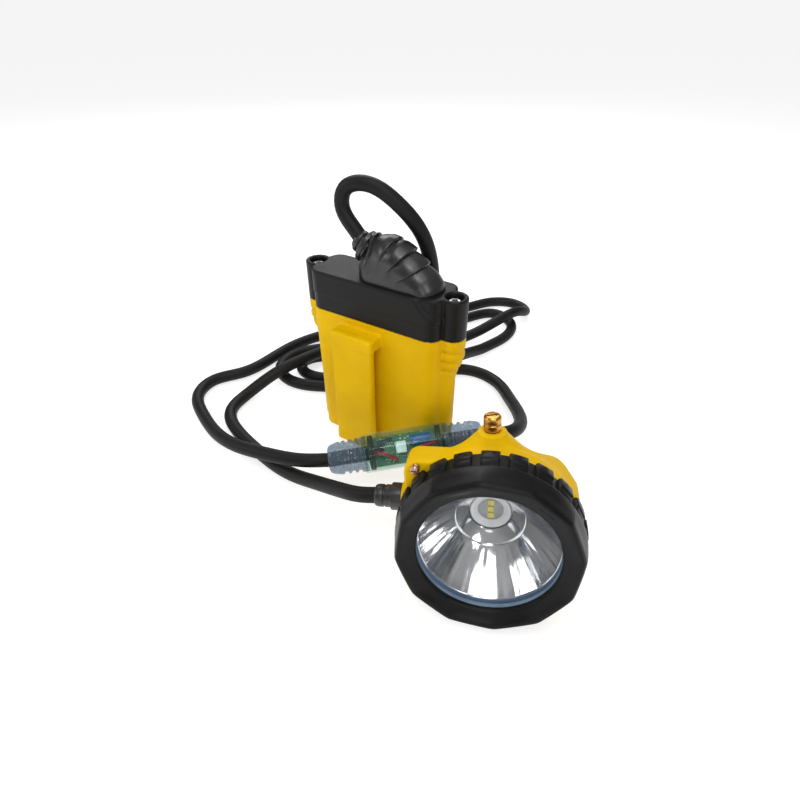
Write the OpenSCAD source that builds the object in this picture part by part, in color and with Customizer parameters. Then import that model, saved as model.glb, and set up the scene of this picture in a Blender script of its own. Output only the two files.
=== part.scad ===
// Corded miner's cap lamp: battery pack, lead with an in-line circuit module, and head piece.
// +Z is up, the battery stands at the origin with its belt loop towards -Y.

/* [Battery case] */
// Half length of the case at the lid
case_hx = 46; // [44:0.5:48]
// Half depth of the case at the lid
case_hy = 15.5; // [15:0.1:16]
// Draft of each wall from lid to base
case_draft = 1.2; // [0:0.1:1.4]
// Height of the case up to the lid
case_h = 94.5; // [92:0.5:98]
// Corner radius of the case and lid
case_r = 8; // [6:0.5:9]
// Wall thickness of the case
case_wall = 2.2; // [1.8:0.1:2.4]
// Thickness of the case floor
floor_t = 3; // [2:0.5:3]
// Distance of each lid screw from the middle
screw_x = 49; // [48.5:0.5:50]
// Radius of the screw boss at each end
boss_r = 8; // [7:0.5:9]

/* [Belt loop] */
// Left edge of the belt loop
loop_x0 = -21.5; // [-24:0.5:-18]
// Right edge of the belt loop
loop_x1 = 8.5; // [6:0.5:12]
// Front face of the belt loop, measured from the middle of the case
loop_y = 27; // [26:0.5:28]
// Thickness of the loop's front plate
loop_t = 4.6; // [4:0.1:5]
// Height of the top of the loop
loop_z1 = 89.5; // [88:0.5:91]

/* [Lid] */
// Height of the lid
lid_h = 25.5; // [25.5:0.5:27]
// Where the lead enters the lid
entry_x = 20; // [18:0.5:22]
// Depth of the screw recess
recess_d = 8; // [6:0.5:8]
// Radius of the screw recess
recess_r = 5.2; // [4.4:0.1:5.4]

/* [Head piece] */
// Middle of the bezel's front plane
head_pos = [124.2, -100.7, 48.8];
// Yaw of the head piece in degrees
head_yaw = 22; // [18:1:26]
// How far the head piece looks up in degrees
head_tilt = 9; // [9:0.5:9]
// Roll of the head piece about its own axis in degrees
head_roll = 5; // [5:0.5:5]
// Radius of the lens opening
opening_r = 33.7; // [33:0.1:34.3]
// Radius over the bezel's grip ribs
rib_r = 46; // [45.7:0.1:46]
// Number of grip ribs round the bezel
rib_n = 22; // [18:1:24]
// Radius of the charging post
post_r = 4.2; // [4:0.1:4.4]

/* [Lead] */
// Radius of the lead
cord_r = 4.5; // [4:0.1:4.5]
// Radius of the clear sleeve round the circuit module
sleeve_r = 12.2; // [11.5:0.1:12.3]
// Length of the module from lead to lead
module_l = 97; // [96:0.5:98]

/* [Hidden] */
$fn = 96;
lid_top = case_h + lid_h;
mod_pos = [0, -63, 21];
mod_pitch = -7.7;
mod_yaw = 37.8;
// Route of the lead from the boot, over the lid, behind the battery and on to the module.
route_a = [[-11.5, 0, 137], [-20, 0, 146], [-28, 1, 156], [-26.5, 2, 166], [-14, 5, 170.5], [3, 10, 162], [15, 17, 146],
    [20, 24, 120], [20, 26, 94], [14, 33, 64], [0, 46, 35], [-22, 58, 17], [-48, 61, 6], [-76, 57, 5], [-99, 47, 5],
    [-105, 33, 5], [-94, 22, 5], [-70, 26, 5], [-44, 38, 5], [-20, 60, 5], [-3, 82, 5], [14, 96, 5], [38, 96, 5],
    [62, 74, 10], [80, 48, 19], [90, 20, 29], [86, 4, 34], [76, -4, 34]];
// Route of the lead from the module, round the loops behind the battery and on to the head piece.
route_b = [[0, -63, 21], [-14, -71, 20], [-40, -77, 17], [-68, -78, 12], [-96, -72, 7], [-122, -61, 5], [-144, -45, 5],
    [-148, -26, 5], [-137, -6, 5], [-132, 20, 5], [-130, 48, 5], [-118, 80, 5], [-98, 111, 5], [-74, 143, 5],
    [-50, 173, 5], [-33, 198, 5], [-17, 221, 5], [4, 227, 5], [18, 214, 8], [17, 193, 16], [6, 167, 13], [-14, 136, 5],
    [-42, 110, 5], [-74, 86, 5], [-102, 62, 5], [-119, 38, 5], [-116, 17, 5], [-98, 7, 5], [-76, 11, 5], [-58, 20.5, 5],
    [-32, 30, 7], [-10, 53, 12], [3, 80, 16.6], [7, 106, 12], [12, 134, 5], [20, 163, 5], [13, 190, 5], [-7, 198, 5],
    [-24, 178, 5], [-42, 149, 5], [-62, 116, 8], [-76, 86, 15], [-87, 56, 15], [-95, 27, 16], [-103, 0, 14],
    [-111, -24, 6], [-106, -48, 5], [-86, -61, 5], [-58, -69, 5], [-28, -75, 7], [2, -79, 16], [30, -85, 29],
    [44, -86, 35], [52.4, -82.7, 36.6]];

// ---------- helpers ----------
function unit(v) = v / norm(v);
function tangent(p, i) = unit(p[min(i + 1, len(p) - 1)] - p[max(i - 1, 0)]);
function flat_on(n, t) = unit(n - (n * t) * t);
// Normals carried along a route without twist.
function normals(p, i = 0, n = [0.31, 0.95, 0.05]) =
    let (m = flat_on(n, tangent(p, i))) i == len(p) - 1 ? [m] : concat([m], normals(p, i + 1, m));
module tube(p, r, sides) {
    ns = normals(p);
    k = len(p);
    pts = [for (i = [0:k - 1]) let (t = tangent(p, i), n = ns[i], b = cross(t, n))
        for (j = [0:sides - 1]) p[i] + r * (cos(j * 360 / sides) * n + sin(j * 360 / sides) * b)];
    sidesf = [for (i = [0:k - 2]) for (j = [0:sides - 1])
        [i * sides + j, i * sides + (j + 1) % sides, (i + 1) * sides + (j + 1) % sides, (i + 1) * sides + j]];
    polyhedron(pts, concat([[for (j = [sides - 1:-1:0]) j]], sidesf, [[for (j = [0:sides - 1]) (k - 1) * sides + j]]));
}
// Rounded rectangle given by half sizes and corner radius.
module rrect(hx, hy, r) {
    square([2 * hx, 2 * (hy - r)], center = true);
    square([2 * (hx - r), 2 * hy], center = true);
    for (x = [-1, 1], y = [-1, 1]) translate([x * (hx - r), y * (hy - r)]) circle(r);
}
// Outline of the lid, drawn in by o.
module lid_outline(o = 0) {
    rrect(case_hx - o, case_hy - o, case_r - o);
    for (s = [-1, 1]) {
        translate([s * screw_x, 0]) circle(boss_r - o);
        translate([s * (screw_x - 3), 0]) square([6, 2 * (boss_r - o)], center = true);
    }
}
// Head frame: +X to the lens's right, +Y to the charging post, +Z out of the lens.
module head() {
    translate(head_pos) rotate([-head_tilt, 0, head_yaw]) rotate([90, 0, 0]) rotate([0, 0, head_roll]) children();
}
// Axis along +Y of the head frame.
module along_y() { rotate([-90, 0, 0]) children(); }
// Axis along +X of the head frame.
module along_x() { rotate([0, 90, 0]) children(); }
// Module frame: +X along the sleeve, from the head's lead to the battery's lead.
module inline() { translate(mod_pos) rotate([0, mod_pitch, mod_yaw]) children(); }

// ---------- battery ----------
module battery_case() color("gold") difference() {
    union() {
        hull() {
            linear_extrude(0.5) rrect(case_hx - case_draft, case_hy - case_draft, case_r - 1);
            translate([0, 0, case_h - 0.5]) linear_extrude(0.5) rrect(case_hx, case_hy, case_r);
        }
        for (s = [-1, 1]) {
            translate([s * screw_x, 0, 84]) cylinder(r = boss_r, h = case_h - 84);
            hull() {
                translate([s * screw_x, 0, 83.5]) cylinder(r = boss_r, h = 0.6);
                translate([s * 45.5, 0, 64]) cylinder(r = 6.5, h = 0.6);
            }
            translate([s * 45.5, 0, 0]) cylinder(r = 6.5, h = 64.5);
        }
        // belt loop: front plate held off the case by a bridge at the top and one at the bottom
        translate([loop_x0, -loop_y, 4]) cube([loop_x1 - loop_x0, loop_t, loop_z1 - 4]);
        translate([loop_x0, -loop_y, loop_z1 - 8.5]) cube([loop_x1 - loop_x0, loop_y - 14, 8.5]);
        translate([loop_x0, -loop_y, 4]) cube([loop_x1 - loop_x0, loop_y - 13, 8]);
    }
    translate([0, 0, floor_t]) linear_extrude(case_h) rrect(case_hx - case_draft - case_wall, case_hy - case_draft - case_wall, 5);
    // threaded insert seats
    for (s = [-1, 1]) translate([s * screw_x, 0, case_h - 10.5]) cylinder(r = 2.9, h = 12);
    // finger grooves under the lid at each end
    for (s = [-1, 1], k = [[85.5, 0], [79, 1.2], [72.5, 2.2]]) translate([s * (screw_x - k[1]), 0, k[0]]) difference() {
        cylinder(r = 12, h = 1.6);
        translate([0, 0, -1]) cylinder(r = 7.1, h = 4);
        translate([s * -20, 0, 0]) cube([30, 40, 8], center = true);
    }
}
module battery_lid() color("#222222") difference() {
    union() {
        translate([0, 0, case_h]) linear_extrude(lid_h - 1.4) lid_outline();
        translate([0, 0, lid_top - 1.4]) linear_extrude(0.7) lid_outline(0.6);
        translate([0, 0, lid_top - 0.7]) linear_extrude(0.7) lid_outline(1.3);
    }
    translate([0, 0, case_h - 1]) linear_extrude(lid_h - 2.6) rrect(42.4, 12, 5);
    translate([0, 0, case_h - 1]) linear_extrude(2.3) rrect(44.6, 14.5, 7);
    for (s = [-1, 1]) translate([s * screw_x, 0, 0]) {
        translate([0, 0, case_h - 1]) cylinder(r = 2.3, h = lid_h + 2);
        translate([0, 0, lid_top - recess_d]) cylinder(r = recess_r, h = recess_d + 1);
    }
    translate([entry_x, 0, lid_top - 10]) cylinder(r = 6.15, h = 12);
}
module lid_gasket() color("dimgray") translate([0, 0, case_h]) linear_extrude(1.2) difference() {
    rrect(44.5, 14.4, 6.9);
    rrect(42.8, 12.4, 5.2);
}
module lid_screws() color("silver") for (s = [-1, 1]) translate([s * screw_x, 0, 0]) difference() {
    union() {
        translate([0, 0, case_h - 9]) cylinder(r = 2, h = lid_h - recess_d + 9);
        translate([0, 0, lid_top - recess_d]) cylinder(r = 3.9, h = 5.4);
    }
    translate([0, 0, lid_top - recess_d + 2.8]) cylinder(r = 2, h = 4, $fn = 6);
}
module screw_inserts() color("goldenrod") for (s = [-1, 1]) translate([s * screw_x, 0, case_h - 10]) difference() {
    cylinder(r = 2.85, h = 9.8);
    translate([0, 0, -1]) cylinder(r = 2.05, h = 12);
}
module battery_cells() color("teal") for (i = [0:3]) translate([(i - 1.5) * 19, 0, 10]) {
    cylinder(r = 9.2, h = 64.2);
    cylinder(r = 4, h = 65);
}
module cell_tray(z) translate([0, 0, z]) linear_extrude(5) difference() {
    rrect(41, 11.6, 4);
    for (i = [0:3]) translate([(i - 1.5) * 19, 0]) circle(9.3);
}
module cell_tray_lower() color("whitesmoke") cell_tray(16);
module cell_tray_upper() color("whitesmoke") cell_tray(64);
module cell_strips() color("lightgray") {
    for (x = [-19, 19]) translate([x, 0, 9.8]) cube([28, 8, 0.3], center = true);
    for (x = [-28.5, 0, 28.5]) translate([x, 0, 75.2]) cube([x == 0 ? 28 : 9, 8, 0.3], center = true);
}
module base_pad() color("gray") translate([0, 0, floor_t + 0.1]) linear_extrude(6.3) rrect(41, 11, 4);
module protection_board() color("darkgreen") translate([0, 0, 80]) linear_extrude(1.6) difference() {
    rrect(36, 10, 2);
    for (x = [-33, 33]) translate([x, 0]) circle(1.6);
}
module board_parts() color("#1a1a1a") for (p = [[-22, 3, 6, 5], [-12, -3, 6, 5], [-2, 3, 8, 4], [9, -4, 5, 4], [30, 3, 5, 6]])
    translate([p[0], p[1], 81.6]) translate([-p[2] / 2, -p[3] / 2, 0]) cube([p[2], p[3], 1.8]);
module battery_leads() color("crimson") for (x = [-2, 2]) translate([entry_x + x, 0, 81.7]) cylinder(r = 1.2, h = 36, $fn = 24);
module lid_gland() color("goldenrod") translate([entry_x, 0, 0]) difference() {
    translate([0, 0, 108]) cylinder(r = 6.05, h = lid_top - 108);
    translate([0, 0, 107]) cylinder(r = 4, h = lid_top);
}
module lid_gland_nut() color("goldenrod") translate([entry_x, 0, 112.2]) difference() {
    cylinder(r = 9.4, h = 4, $fn = 6);
    translate([0, 0, -1]) cylinder(r = 6.15, h = 7);
}
// Thin oval slice from a to b in the XZ plane, w deep each way.
module slice(a, b, w) translate([(a[0] + b[0]) / 2, 0, (a[1] + b[1]) / 2])
    rotate([0, -atan2(b[1] - a[1], b[0] - a[0]), 0]) scale([norm(b - a) / 2, w, 1]) cylinder(r = 1, h = 0.2, center = true, $fn = 32);
module cable_boot() color("#202020") {
    hull() { slice([4, 120.3], [41.5, 121.3], 12.6); slice([8, 121.5], [35.6, 129.6], 12.6); }
    hull() { slice([8, 121.5], [32.4, 130.4], 11.6); slice([5, 122], [25, 137], 12); }
    hull() { slice([5, 122], [21.6, 137.6], 11); slice([0, 123], [14.6, 144.7], 11.4); }
    hull() { slice([0, 123], [11.8, 143.6], 10.2); slice([-9, 124.5], [3.9, 146.4], 9.6); }
    hull() { slice([-9, 124.5], [0.6, 145.6], 8.4); slice([-16.5, 127.6], [-6.3, 146], 7.4); }
    hull() {
        translate([-14, -12.6, 120.05]) cube([26, 25.2, 0.6]);
        slice([-14.5, 128.6], [3, 140], 9.4);
    }
    difference() {
        translate([13.5, 0, 120.02]) linear_extrude(2) rrect(28, 12.8, 12);
        translate([entry_x, 0, 119]) cylinder(r = 3, h = 2);
    }
}

// ---------- head piece ----------
module body_slab(hx, y0, y1, r) translate([0, (y0 + y1) / 2]) rrect(hx, (y1 - y0) / 2, r);
module head_housing() color("gold") head() difference() {
    union() {
        translate([0, 0, -24.4]) cylinder(r = 40, h = 13.4);
        rotate_extrude() polygon([[0, -62], [23, -62], [29, -59], [35.2, -50], [40.2, -40], [43, -32], [42.8, -24.4], [0, -24.4]]);
        translate([0, 0, -38.5]) linear_extrude(14.1) body_slab(41.5, -33, 37, 8);
        hull() {
            translate([0, 0, -38.5]) linear_extrude(0.4) body_slab(41.5, -33, 37, 8);
            translate([0, 0, -58]) linear_extrude(0.4) body_slab(30, -27, 21, 8);
        }
        translate([0, 33, -38]) along_y() cylinder(r1 = 13.5, r2 = 6.6, h = 15);
        // shoulders of the post
        hull() {
            translate([-18, 33, -46]) cube([36, 4.4, 16]);
            translate([0, 44, -38]) along_y() cylinder(r = 7.6, h = 2);
        }
        translate([-47, 0, -45]) along_x() cylinder(r = 9, h = 12);
    }
    // upper right corner cut off
    rotate([0, 0, 50.6]) translate([42, -30, -60]) cube([20, 60, 35.7]);
    translate([0, 0, -30]) cylinder(r = 37.6, h = 30);
    // inside of the shell, less the boss that carries the switch
    difference() {
        rotate_extrude() polygon([[0, -58.5], [22, -58.5], [26.6, -56], [32, -48], [37.2, -38.5], [37.6, -29], [0, -29]]);
        translate([0, -30.6, -42]) rotate([90, 0, 0]) cylinder(r = 12.2, h = 12);
    }
    // pocket round the switch knob
    translate([0, -33, -42]) rotate([90, 0, 0]) cylinder(r = 9.8, h = 16);
    translate([0, 20, -38]) along_y() cylinder(r = 3.06, h = 40);
    translate([0, 31, -38]) along_y() cylinder(r = 5.3, h = 5.55);
    translate([-52, 0, -45]) along_x() cylinder(r = 4.25, h = 28);
    translate([0, -20, -42]) rotate([90, 0, 0]) cylinder(r = 3.06, h = 20);
    translate([-35.4, 33.6, -33]) cylinder(r = 1.65, h = 10);
    for (y = [-6, 6]) translate([-2, y, -63]) cylinder(r = 1.35, h = 4);
}
module bezel_ring() color("#1c1c1c") head() difference() {
    union() {
        // twelve-sided nose
        translate([0, 0, -13]) rotate([0, 0, 4.5]) cylinder(r1 = 45.6, r2 = 43.4, h = 13, $fn = 12);
        translate([0, 0, -24]) cylinder(r = 43.9, h = 14);
        intersection() {
            translate([0, 0, -23.6]) cylinder(r = rib_r, h = 10.6);
            for (i = [0:rib_n - 1]) rotate([0, 0, (i + 0.5) * 360 / rib_n]) translate([38, -4.4, -23.6]) cube([12, 8.8, 10.6]);
        }
    }
    translate([0, 0, -25]) cylinder(r = 40.4, h = 14);
    translate([0, 0, -12]) cylinder(r = 39.1, h = 7.4);
    translate([0, 0, -6]) cylinder(r = opening_r, h = 8);
    translate([0, 0, -3.8]) cylinder(r1 = opening_r, r2 = 39.4, h = 3.9);
}
module lens() color([0.9, 0.95, 1, 0.3]) head() translate([0, 0, -10.9]) cylinder(r = 36.4, h = 2.4);
module lens_seal() color("lightslategray") head() rotate_extrude()
    polygon([[34.4, -4.7], [38.8, -4.7], [38.8, -10.9], [36.5, -10.9], [36.5, -8.4], [34.4, -8.4]]);
// Paraboloid: depth d below the bezel's front gives the radius.
function bowl_r(d) = sqrt(39.7 * (40.1 - d));
module reflector() color("white") head() rotate_extrude() polygon(concat(
    [for (d = [11.1:2:37.1]) [bowl_r(d), -d]],
    [for (d = [37.1:-2:13.1]) [bowl_r(d) + 1.1, -d - 0.3]],
    [[37.2, -12.6], [37.2, -11.1]]));
module led_seat() color("white") head() rotate_extrude() polygon([[6.6, -39.9], [10.7, -39.9], [10.7, -37.3], [9.6, -37.3], [6.6, -39.2]]);
module led_board() color("gray") head() translate([0, 0, -41.5]) cylinder(r = 14, h = 1.5);
module led_dies() color("yellow") head() for (y = [-3.9, 0, 3.9]) translate([-1.7, y - 1.6, -39.98]) cube([3.4, 3.2, 0.7]);
module heat_sink() color("silver") head() translate([0, 0, -50]) {
    translate([0, 0, 5]) cylinder(r = 16, h = 3.4);
    for (i = [-2:2]) translate([i * 5.2 - 0.9, -10, 0]) cube([1.8, 20, 5.2]);
}
module driver_board() color("darkgreen") head() translate([0, 0, -53]) cylinder(r = 22, h = 1.6);
module driver_parts() color("#1a1a1a") head() for (p = [[-8, 5, 7, 5], [6, 7, 5, 5], [9, -8, 8, 4], [-7, -8, 5, 6]])
    translate([p[0] - p[2] / 2, p[1] - p[3] / 2, -55.2]) cube([p[2], p[3], 2.1]);
module charging_post() color("goldenrod") head() translate([0, 0, -38]) difference() {
    union() {
        translate([0, 48.7, 0]) along_y() cylinder(r = post_r, h = 7.6);
        translate([0, 30, 0]) along_y() cylinder(r = 3, h = 19);
    }
    translate([0, 55, 0]) rotate([0, 20, 0]) translate([-6, 0, -0.7]) cube([12, 2, 1.4]);
}
module post_seal() color("#222222") head() translate([0, 48.02, -38]) along_y() difference() {
    cylinder(r = 3.9, h = 0.6);
    translate([0, 0, -1]) cylinder(r = 3.2, h = 3);
}
module post_retainer() color("silver") head() translate([0, 35.5, -38]) along_y() difference() {
    cylinder(r = 5, h = 1);
    translate([0, 0, -1]) cylinder(r = 3.02, h = 3);
}
module post_contact() color("goldenrod") head() translate([-4, 26.5, -41]) cube([8, 3.3, 6]);
module lock_screw() color("peru") head() translate([-35.4, 33.6, 0]) difference() {
    union() {
        translate([0, 0, -24.35]) cylinder(r = 2.2, h = 3.6);
        translate([0, 0, -31]) cylinder(r = 1.6, h = 7);
    }
    translate([-3, -0.35, -21.5]) cube([6, 0.7, 2]);
}
module switch_knob() color("#222222") head() translate([0, 0, -42]) rotate([90, 0, 0]) difference() {
    union() {
        translate([0, 0, 34.3]) cylinder(r = 9, h = 6.8);
        translate([0, 0, 22.5]) cylinder(r = 3, h = 12);
    }
    for (i = [0:11]) rotate([0, 0, i * 30 + 15]) translate([9.9, 0, 35.6]) cylinder(r = 1.7, h = 8);
}
module switch_seal() color("dimgray") head() translate([0, 0, -42]) rotate([90, 0, 0]) translate([0, 0, 33.02]) difference() {
    cylinder(r = 7.5, h = 1.15);
    translate([0, 0, -1]) cylinder(r = 3.4, h = 4);
}
module switch_body() color("#303030") head() translate([0, 0, -42]) rotate([90, 0, 0]) difference() {
    translate([-7, -6, 20]) cube([14, 12, 10]);
    translate([0, 0, 22]) cylinder(r = 3.2, h = 10);
}
module head_gland() color("#202020") head() translate([0, 0, -45]) {
    translate([-60, 0, 0]) along_x() cylinder(r = 6.2, h = 8);
    translate([-53, 0, 0]) along_x() cylinder(r = 7.6, h = 5.95);
    translate([-48, 0, 0]) along_x() cylinder(r = 4.1, h = 21.4);
}
module head_gland_nut() color("#303030") head() translate([-29.6, 0, -45]) along_x() difference() {
    cylinder(r = 5.8, h = 2.8, $fn = 6);
    translate([0, 0, -1]) cylinder(r = 4.2, h = 6);
}
module head_leads() color("crimson") head() for (y = [-1.7, 1.7]) {
    translate([-26.5, y, -45]) along_x() cylinder(r = 1, h = 6, $fn = 24);
    translate([-20.5, y, -51.3]) cylinder(r = 1, h = 6.3, $fn = 24);
}
module helmet_hook() color("silver") head() difference() {
    translate([0, 11, 0]) rotate([90, 0, 0]) linear_extrude(22) union() {
        translate([-12, -63.5]) square([28, 1.45]);
        translate([16, -65.4]) difference() { circle(3.35); circle(1.9); translate([-8, -4]) square([8, 8]); }
        translate([-15, -68.75]) square([31, 1.45]);
        polygon([[-15, -68.75], [-15, -67.3], [-21, -69.3], [-21, -70.75]]);
    }
    for (y = [-6, 6]) translate([-2, y, -64]) cylinder(r = 1.6, h = 3);
    for (y = [-6, 6]) translate([-2, y, -70]) cylinder(r = 3.1, h = 4);
    for (s = [-1, 1]) translate([-13, s * 14.5, -72]) rotate([0, 0, s * 20]) cube([20, 9, 10], center = true);
}
module hook_screws() color("silver") head() for (y = [-6, 6]) translate([-2, y, 0]) difference() {
    union() {
        translate([0, 0, -64.9]) cylinder(r = 2.6, h = 1.35);
        translate([0, 0, -64]) cylinder(r = 1.3, h = 4.6);
    }
    translate([-3, -0.3, -65.2]) cube([6, 0.6, 0.9]);
}

// ---------- lead and in-line module ----------
module cord_battery() color("#202020") tube(route_a, cord_r, 8);
module cord_head() color("#202020") tube(route_b, cord_r, 8);
module module_sleeve() color([0.8, 0.9, 0.9, 0.3]) inline() translate([22, 0, 0]) along_x() difference() {
    cylinder(r = sleeve_r, h = module_l - 42);
    translate([0, 0, -1]) cylinder(r = sleeve_r - 1, h = module_l);
}
module one_boot() along_x() difference() {
    union() {
        translate([0, 0, 0.3]) cylinder(r1 = 8.2, r2 = 9.6, h = 3);
        translate([0, 0, 3.2]) cylinder(r = 8.4, h = 2);
        for (i = [0:3]) translate([0, 0, 5 + i * 3.6]) {
            cylinder(r = 9.5 + i * 0.45, h = 2.2);
            cylinder(r = 8.4 + i * 0.45, h = 3.7);
        }
        translate([0, 0, 19.2]) cylinder(r = 11.1, h = 5);
    }
    translate([0, 0, -1]) cylinder(r = 4.7, h = 30);
}
module module_boots() color([0.85, 0.9, 0.92, 0.4]) inline() {
    one_boot();
    translate([module_l, 0, 0]) rotate([0, 0, 180]) one_boot();
}
module module_cable_ends() color("#202020") inline() {
    translate([0.9, 0, 0]) along_x() cylinder(r = 4.5, h = 24.65);
    translate([module_l - 25.55, 0, 0]) along_x() cylinder(r = 4.5, h = 24.65);
}
module module_grommets() color("#101018") inline() for (x = [25.7, module_l - 28.7]) translate([x, 0, 0]) along_x() cylinder(r = 10.9, h = 3);
// The circuit board lies across the sleeve, turned a little to the front.
module flat_board() inline() rotate([28, 0, 0]) children();
module module_board() color("seagreen") flat_board() translate([29, -9.6, -1.6]) cube([module_l - 58, 19.2, 1.6]);
module module_capacitor() color("royalblue") flat_board() translate([52, 3.2, 3.2]) along_x() cylinder(r = 3.1, h = 13);
module module_relay() color("gainsboro") flat_board() translate([42.5, -4.5, 0.02]) cube([7, 8, 4]);
module module_chips() color("#1c1c1c") flat_board() for (p = [[31, 3, 5, 4], [37, 5, 4, 3], [53, -7, 6, 4.5], [61, -6.5, 4, 4]])
    translate([p[0], p[1], 0.02]) cube([p[2], p[3], 1.5]);
module module_leads() color("crimson") flat_board() {
    translate([28.8, -4.5, 1.5]) along_x() cylinder(r = 1.1, h = 11, $fn = 24);
    translate([57, -0.8, 1.3]) along_x() cylinder(r = 1.1, h = 11, $fn = 24);
}

battery_case();
battery_lid();
lid_gasket();
lid_screws();
screw_inserts();
battery_cells();
cell_tray_lower();
cell_tray_upper();
cell_strips();
base_pad();
protection_board();
board_parts();
battery_leads();
lid_gland();
lid_gland_nut();
cable_boot();
head_housing();
bezel_ring();
lens();
lens_seal();
reflector();
led_seat();
led_board();
led_dies();
heat_sink();
driver_board();
driver_parts();
charging_post();
post_seal();
post_retainer();
post_contact();
lock_screw();
switch_knob();
switch_seal();
switch_body();
head_gland();
head_gland_nut();
head_leads();
helmet_hook();
hook_screws();
cord_battery();
cord_head();
module_sleeve();
module_boots();
module_cable_ends();
module_grommets();
module_board();
module_capacitor();
module_relay();
module_chips();
module_leads();
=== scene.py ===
import bpy, bmesh, math
import numpy as np
from mathutils import Vector, Matrix


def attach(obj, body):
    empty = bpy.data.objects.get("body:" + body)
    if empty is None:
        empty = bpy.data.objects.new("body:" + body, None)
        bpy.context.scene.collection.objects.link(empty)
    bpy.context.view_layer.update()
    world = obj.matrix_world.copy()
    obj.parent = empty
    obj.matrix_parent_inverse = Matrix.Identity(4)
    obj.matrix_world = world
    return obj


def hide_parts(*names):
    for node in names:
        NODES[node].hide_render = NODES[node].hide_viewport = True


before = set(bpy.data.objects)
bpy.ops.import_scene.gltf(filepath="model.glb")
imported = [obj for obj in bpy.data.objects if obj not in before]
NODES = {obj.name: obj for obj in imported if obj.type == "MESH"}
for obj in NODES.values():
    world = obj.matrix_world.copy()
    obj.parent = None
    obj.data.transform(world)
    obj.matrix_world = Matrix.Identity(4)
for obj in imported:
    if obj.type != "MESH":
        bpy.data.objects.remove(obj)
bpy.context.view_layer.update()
MM = 0.001


# ---------------------------------------------------------------- frames
def rx(a):
    c, s = math.cos(a), math.sin(a)
    return np.array([[1, 0, 0], [0, c, -s], [0, s, c]])


def ry(a):
    c, s = math.cos(a), math.sin(a)
    return np.array([[c, 0, s], [0, 1, 0], [-s, 0, c]])


def rz(a):
    c, s = math.cos(a), math.sin(a)
    return np.array([[c, -s, 0], [s, c, 0], [0, 0, 1]])


rad = math.radians
HEAD_R = rz(rad(22)) @ rx(rad(-9)) @ rx(rad(90)) @ rz(rad(5))
HEAD_C = np.array([124.2, -100.7, 48.8])
MOD_R = rz(rad(37.8)) @ ry(rad(-7.7))
MOD_C = np.array([0.0, -63.0, 21.0])


def in_head(v):
    return np.asarray(v, float) @ HEAD_R.T + HEAD_C


def in_module(v):
    return np.asarray(v, float) @ MOD_R.T + MOD_C


def in_board(v):
    return in_module(np.asarray(v, float) @ rx(rad(28)).T)


def as_is(v):
    return np.asarray(v, float)


# ---------------------------------------------------------------- camera
cam_data = bpy.data.cameras.new("Cam")
cam_data.lens = 25.2
cam_data.sensor_width = 36
cam_data.clip_start = 0.01
cam = bpy.data.objects.new("Cam", cam_data)
bpy.context.scene.collection.objects.link(cam)
cam.location = (0.17702, -0.25635, 0.26108)
cam.rotation_euler = (rad(53.19), 0, rad(32.706))
bpy.context.scene.camera = cam


# ---------------------------------------------------------------- materials
def material(name):
    m = bpy.data.materials.new(name)
    m.use_nodes = True
    nt = m.node_tree
    nt.nodes.clear()
    out = nt.nodes.new("ShaderNodeOutputMaterial")
    return m, nt, out


def noise(nt, scale, detail=3.0, rough=0.55, stretch=None):
    tc = nt.nodes.new("ShaderNodeTexCoord")
    vec = tc.outputs["Object"]
    if stretch:
        mp = nt.nodes.new("ShaderNodeMapping")
        mp.inputs["Scale"].default_value = stretch
        nt.links.new(vec, mp.inputs["Vector"])
        vec = mp.outputs["Vector"]
    n = nt.nodes.new("ShaderNodeTexNoise")
    n.inputs["Scale"].default_value = scale
    n.inputs["Detail"].default_value = detail
    n.inputs["Roughness"].default_value = rough
    nt.links.new(vec, n.inputs["Vector"])
    return n.outputs["Fac"]


def ramp(nt, fac, stops):
    r = nt.nodes.new("ShaderNodeValToRGB")
    e = r.color_ramp.elements
    while len(e) < len(stops):
        e.new(0.5)
    for i, (p, c) in enumerate(stops):
        e[i].position = p
        e[i].color = (*c, 1) if len(c) == 3 else c
    nt.links.new(fac, r.inputs["Fac"])
    return r.outputs["Color"]


def span(nt, fac, lo, hi, a, b):
    m = nt.nodes.new("ShaderNodeMapRange")
    m.inputs["From Min"].default_value = lo
    m.inputs["From Max"].default_value = hi
    m.inputs["To Min"].default_value = a
    m.inputs["To Max"].default_value = b
    nt.links.new(fac, m.inputs["Value"])
    return m.outputs["Result"]


def math_node(nt, op, a, b):
    m = nt.nodes.new("ShaderNodeMath")
    m.operation = op
    for i, v in enumerate((a, b)):
        if isinstance(v, (int, float)):
            m.inputs[i].default_value = v
        else:
            nt.links.new(v, m.inputs[i])
    return m.outputs[0]


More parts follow.
